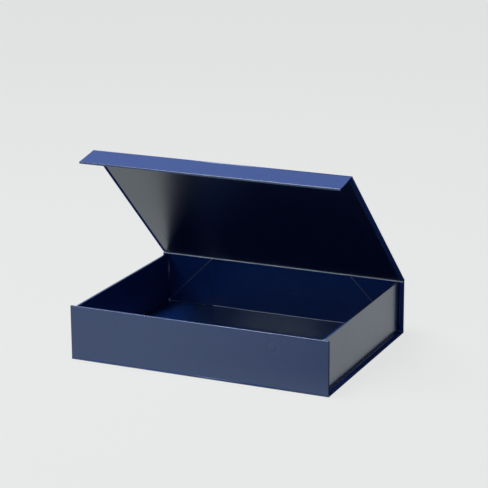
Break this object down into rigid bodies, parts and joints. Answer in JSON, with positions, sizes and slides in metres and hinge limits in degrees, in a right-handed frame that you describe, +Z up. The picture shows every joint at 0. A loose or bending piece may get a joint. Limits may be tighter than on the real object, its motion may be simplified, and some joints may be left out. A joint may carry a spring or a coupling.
{
  "type": "archival box",
  "caption": "Fold-flat rigid storage box for documents, with a hinged lid, a magnetic flap and gusseted corners that let the walls lie flat.",
  "frame": {"origin": "centre of the underside of the base, on the surface that the box stands on", "axes": "+X to the right along the front wall, +Y from the front wall to the spine, +Z up"},
  "size_m": [0.32, 0.24, 0.234],
  "materials": {
    "wrap_paper": "navy laminated wrap paper, satin, over board",
    "lining_paper": "navy laminated lining paper, satin",
    "lid_lining_paper": "navy laminated lining paper, satin",
    "greyboard": "matte solid grey paperboard",
    "magnet": "nickel plated disc magnet",
    "tape": "double-sided tape with its paper liner peeled"
  },
  "bodies": {
    "tray_base": {"base_board": "greyboard", "base_wrap": "wrap_paper", "floor_lining": "lining_paper", "front_crease": "wrap_paper", "spine_crease": "wrap_paper", "spine_lining_foot": "lining_paper", "left_wall_strip": "lining_paper", "right_wall_strip": "lining_paper", "left_wall_crease": "lining_paper", "right_wall_crease": "lining_paper"},
    "front_wall": {"front_board": "greyboard", "front_wrap": "wrap_paper", "front_lining": "lining_paper", "front_magnets": "magnet"},
    "spine": {"spine_board": "greyboard", "spine_wrap": "wrap_paper", "spine_lining": "lining_paper", "left_glued_tab": "lining_paper", "right_glued_tab": "lining_paper", "left_gusset_crease": "lining_paper", "right_gusset_crease": "lining_paper", "lid_crease": "wrap_paper"},
    "left_wall": {"left_wall_board": "greyboard", "left_wall_wrap": "wrap_paper", "left_tab_crease": "lining_paper"},
    "right_wall": {"right_wall_board": "greyboard", "right_wall_wrap": "wrap_paper", "right_tab_crease": "lining_paper"},
    "left_corner_gusset": {"left_gusset": "lining_paper"},
    "right_corner_gusset": {"right_gusset": "lining_paper"},
    "left_glue_tab": {"left_front_tab": "lining_paper", "left_tab_tape": "tape"},
    "right_glue_tab": {"right_front_tab": "lining_paper", "right_tab_tape": "tape"},
    "lid": {"lid_board": "greyboard", "lid_wrap": "wrap_paper", "lid_lining": "lid_lining_paper", "flap_crease": "wrap_paper"},
    "flap": {"flap_board": "greyboard", "flap_wrap": "wrap_paper", "flap_lining": "lining_paper", "flap_magnets": "magnet"}
  },
  "joints": [
    {"name": "back_fold", "type": "hinge", "parent": "tray_base", "child": "spine", "pos_m": [0, 0.11875, 0.00125], "axis": [-1, 0, 0], "range_deg": [0, 90]},
    {"name": "left_wall_fold", "type": "hinge", "parent": "tray_base", "child": "left_wall", "pos_m": [-0.152, 0, 0.0044], "axis": [0, 1, 0], "range_deg": [0, 90]},
    {"name": "right_wall_fold", "type": "hinge", "parent": "tray_base", "child": "right_wall", "pos_m": [0.152, 0, 0.0044], "axis": [0, -1, 0], "range_deg": [0, 90]},
    {"name": "left_gusset_fold", "type": "hinge", "parent": "spine", "child": "left_corner_gusset", "pos_m": [-0.1515, 0.11655, 0.0044], "axis": [0.7071, 0, 0.7071], "range_deg": [0, 180]},
    {"name": "right_gusset_fold", "type": "hinge", "parent": "spine", "child": "right_corner_gusset", "pos_m": [0.1515, 0.11655, 0.0044], "axis": [0.7071, 0, -0.7071], "range_deg": [0, 180]},
    {"name": "left_tab_fold", "type": "hinge", "parent": "left_wall", "child": "left_glue_tab", "pos_m": [-0.1514, -0.11645, 0.0325], "axis": [0, 0, 1], "range_deg": [0, 90]},
    {"name": "right_tab_fold", "type": "hinge", "parent": "right_wall", "child": "right_glue_tab", "pos_m": [0.1514, -0.11645, 0.0325], "axis": [0, 0, -1], "range_deg": [0, 90]},
    {"name": "front_fold", "type": "hinge", "parent": "tray_base", "child": "front_wall", "pos_m": [0, -0.11875, 0.00125], "axis": [1, 0, 0], "range_deg": [0, 90]},
    {"name": "lid_hinge", "type": "hinge", "parent": "spine", "child": "lid", "pos_m": [0, 0.11875, 0.06655], "axis": [-1, 0, 0], "range_deg": [-43.75, 141.25]},
    {"name": "flap_hinge", "type": "hinge", "parent": "lid", "child": "flap", "pos_m": [0, -0.05483, 0.23272], "axis": [1, 0, 0], "range_deg": [-53.9, 36.1]}
  ],
  "couplings": [
    {"joint": "left_wall_fold", "follows": "back_fold", "ratio": 1},
    {"joint": "right_wall_fold", "follows": "back_fold", "ratio": 1},
    {"joint": "left_gusset_fold", "follows": "back_fold", "ratio": 2},
    {"joint": "right_gusset_fold", "follows": "back_fold", "ratio": 2},
    {"joint": "left_tab_fold", "follows": "back_fold", "ratio": 1},
    {"joint": "right_tab_fold", "follows": "back_fold", "ratio": 1}
  ]
}
